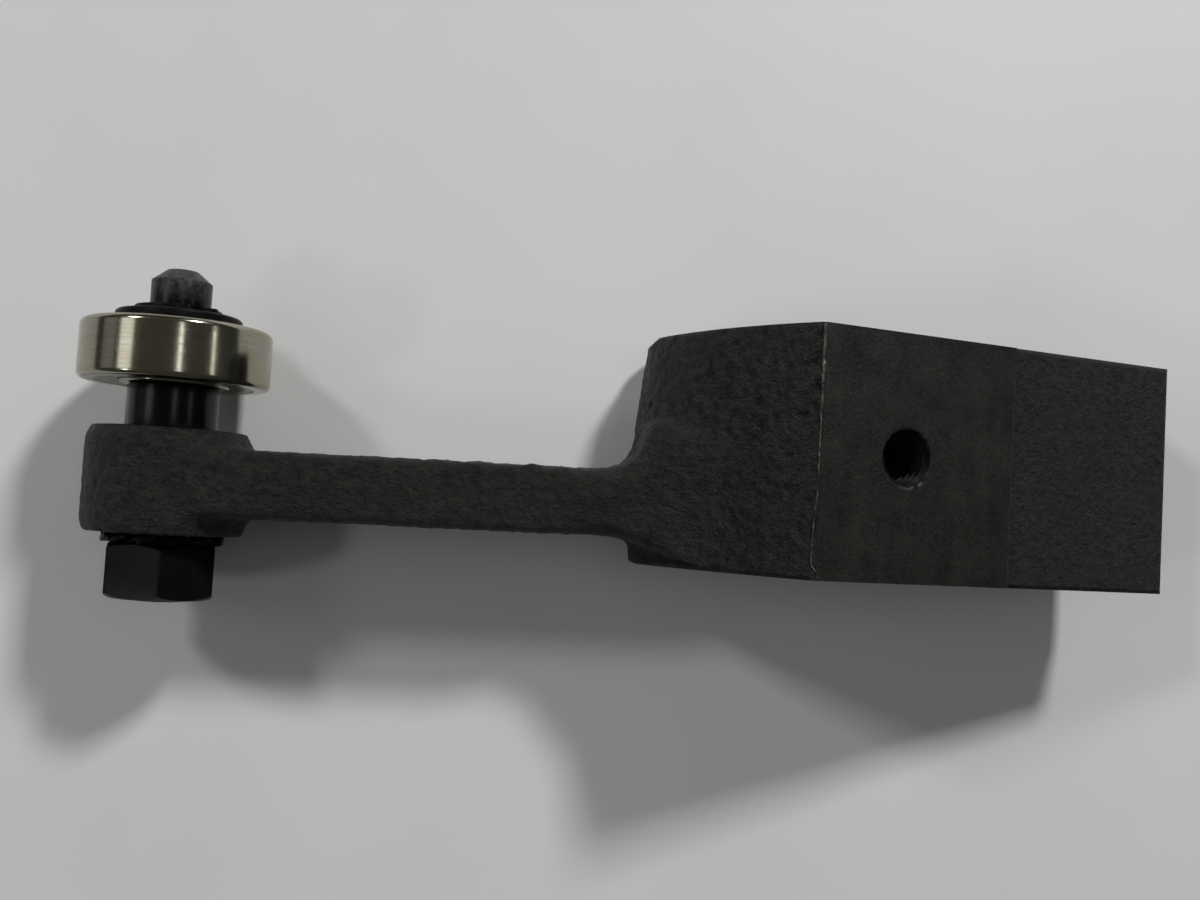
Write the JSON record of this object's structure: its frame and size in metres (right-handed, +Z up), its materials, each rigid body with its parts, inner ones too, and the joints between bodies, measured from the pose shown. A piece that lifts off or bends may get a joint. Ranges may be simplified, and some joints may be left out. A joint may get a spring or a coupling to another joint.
{
  "type": "cam follower lever with needle track roller",
  "caption": "Cast follower lever with a needle track roller on a stud at one end and a bored hub block with a sloping tapped pad at the other.",
  "frame": {"origin": "centre of the hub's shaft bore, at the middle of the hub's width", "axes": "+X along the lever towards the tail, +Y along the shaft bore and the stud, from the nut towards the roller, +Z up, out of the ridge; the lever lies on a surface at Z = -19.8 mm"},
  "size_m": [0.2111, 0.0627, 0.0497],
  "materials": {
    "cast_iron": "rough sand-cast, dark painted",
    "black_oxide": "black oxide",
    "black_spring_steel": "phosphated spring steel",
    "bearing_steel": "ground and polished",
    "shield_steel": "pressed sheet steel",
    "cage_steel": "pressed sheet steel",
    "needle_steel": "ground and lapped"
  },
  "bodies": {
    "lever": {"lever_arm": "cast_iron", "roller_stud": "black_oxide", "hex_nut": "black_oxide", "lock_washer": "black_spring_steel", "inner_ring": "bearing_steel", "retaining_washer": "black_spring_steel", "circlip": "black_spring_steel"},
    "roller": {"outer_ring": "bearing_steel", "shield_front": "shield_steel", "shield_rear": "shield_steel"},
    "cage": {"needle_cage": "cage_steel"},
    "needle_01_roller": {"needle_01": "needle_steel"},
    "needle_02_roller": {"needle_02": "needle_steel"},
    "needle_03_roller": {"needle_03": "needle_steel"},
    "needle_04_roller": {"needle_04": "needle_steel"},
    "needle_05_roller": {"needle_05": "needle_steel"},
    "needle_06_roller": {"needle_06": "needle_steel"},
    "needle_07_roller": {"needle_07": "needle_steel"},
    "needle_08_roller": {"needle_08": "needle_steel"},
    "needle_09_roller": {"needle_09": "needle_steel"},
    "needle_10_roller": {"needle_10": "needle_steel"},
    "needle_11_roller": {"needle_11": "needle_steel"},
    "needle_12_roller": {"needle_12": "needle_steel"},
    "needle_13_roller": {"needle_13": "needle_steel"},
    "needle_14_roller": {"needle_14": "needle_steel"},
    "needle_15_roller": {"needle_15": "needle_steel"},
    "needle_16_roller": {"needle_16": "needle_steel"}
  },
  "joints": [
    {"name": "roller_spin", "type": "hinge", "parent": "lever", "child": "roller", "pos_m": [-0.1264, 0.01225, -0.0023], "axis": [0, 1, 0], "continuous": true},
    {"name": "cage_orbit", "type": "hinge", "parent": "lever", "child": "cage", "pos_m": [-0.1264, 0.01225, -0.0023], "axis": [0, 1, 0], "continuous": true},
    {"name": "needle_01_spin", "type": "hinge", "parent": "cage", "child": "needle_01_roller", "pos_m": [-0.1149, 0.01225, -0.0023], "axis": [0, 1, 0], "continuous": true},
    {"name": "needle_02_spin", "type": "hinge", "parent": "cage", "child": "needle_02_roller", "pos_m": [-0.11578, 0.01225, -0.0067], "axis": [0, 1, 0], "continuous": true},
    {"name": "needle_03_spin", "type": "hinge", "parent": "cage", "child": "needle_03_roller", "pos_m": [-0.11827, 0.01225, -0.01043], "axis": [0, 1, 0], "continuous": true},
    {"name": "needle_04_spin", "type": "hinge", "parent": "cage", "child": "needle_04_roller", "pos_m": [-0.122, 0.01225, -0.01293], "axis": [0, 1, 0], "continuous": true},
    {"name": "needle_05_spin", "type": "hinge", "parent": "cage", "child": "needle_05_roller", "pos_m": [-0.1264, 0.01225, -0.0138], "axis": [0, 1, 0], "continuous": true},
    {"name": "needle_06_spin", "type": "hinge", "parent": "cage", "child": "needle_06_roller", "pos_m": [-0.1308, 0.01225, -0.01293], "axis": [0, 1, 0], "continuous": true},
    {"name": "needle_07_spin", "type": "hinge", "parent": "cage", "child": "needle_07_roller", "pos_m": [-0.13453, 0.01225, -0.01043], "axis": [0, 1, 0], "continuous": true},
    {"name": "needle_08_spin", "type": "hinge", "parent": "cage", "child": "needle_08_roller", "pos_m": [-0.13703, 0.01225, -0.0067], "axis": [0, 1, 0], "continuous": true},
    {"name": "needle_09_spin", "type": "hinge", "parent": "cage", "child": "needle_09_roller", "pos_m": [-0.1379, 0.01225, -0.0023], "axis": [0, 1, 0], "continuous": true},
    {"name": "needle_10_spin", "type": "hinge", "parent": "cage", "child": "needle_10_roller", "pos_m": [-0.13703, 0.01225, 0.0021], "axis": [0, 1, 0], "continuous": true},
    {"name": "needle_11_spin", "type": "hinge", "parent": "cage", "child": "needle_11_roller", "pos_m": [-0.13453, 0.01225, 0.00583], "axis": [0, 1, 0], "continuous": true},
    {"name": "needle_12_spin", "type": "hinge", "parent": "cage", "child": "needle_12_roller", "pos_m": [-0.1308, 0.01225, 0.00833], "axis": [0, 1, 0], "continuous": true},
    {"name": "needle_13_spin", "type": "hinge", "parent": "cage", "child": "needle_13_roller", "pos_m": [-0.1264, 0.01225, 0.0092], "axis": [0, 1, 0], "continuous": true},
    {"name": "needle_14_spin", "type": "hinge", "parent": "cage", "child": "needle_14_roller", "pos_m": [-0.122, 0.01225, 0.00833], "axis": [0, 1, 0], "continuous": true},
    {"name": "needle_15_spin", "type": "hinge", "parent": "cage", "child": "needle_15_roller", "pos_m": [-0.11827, 0.01225, 0.00583], "axis": [0, 1, 0], "continuous": true},
    {"name": "needle_16_spin", "type": "hinge", "parent": "cage", "child": "needle_16_roller", "pos_m": [-0.11578, 0.01225, 0.0021], "axis": [0, 1, 0], "continuous": true}
  ],
  "couplings": [
    {"joint": "cage_orbit", "follows": "roller_spin", "ratio": 0.56522},
    {"joint": "needle_01_spin", "follows": "roller_spin", "ratio": 3.7681},
    {"joint": "needle_02_spin", "follows": "roller_spin", "ratio": 3.7681},
    {"joint": "needle_03_spin", "follows": "roller_spin", "ratio": 3.7681},
    {"joint": "needle_04_spin", "follows": "roller_spin", "ratio": 3.7681},
    {"joint": "needle_05_spin", "follows": "roller_spin", "ratio": 3.7681},
    {"joint": "needle_06_spin", "follows": "roller_spin", "ratio": 3.7681},
    {"joint": "needle_07_spin", "follows": "roller_spin", "ratio": 3.7681},
    {"joint": "needle_08_spin", "follows": "roller_spin", "ratio": 3.7681},
    {"joint": "needle_09_spin", "follows": "roller_spin", "ratio": 3.7681},
    {"joint": "needle_10_spin", "follows": "roller_spin", "ratio": 3.7681},
    {"joint": "needle_11_spin", "follows": "roller_spin", "ratio": 3.7681},
    {"joint": "needle_12_spin", "follows": "roller_spin", "ratio": 3.7681},
    {"joint": "needle_13_spin", "follows": "roller_spin", "ratio": 3.7681},
    {"joint": "needle_14_spin", "follows": "roller_spin", "ratio": 3.7681},
    {"joint": "needle_15_spin", "follows": "roller_spin", "ratio": 3.7681},
    {"joint": "needle_16_spin", "follows": "roller_spin", "ratio": 3.7681}
  ]
}
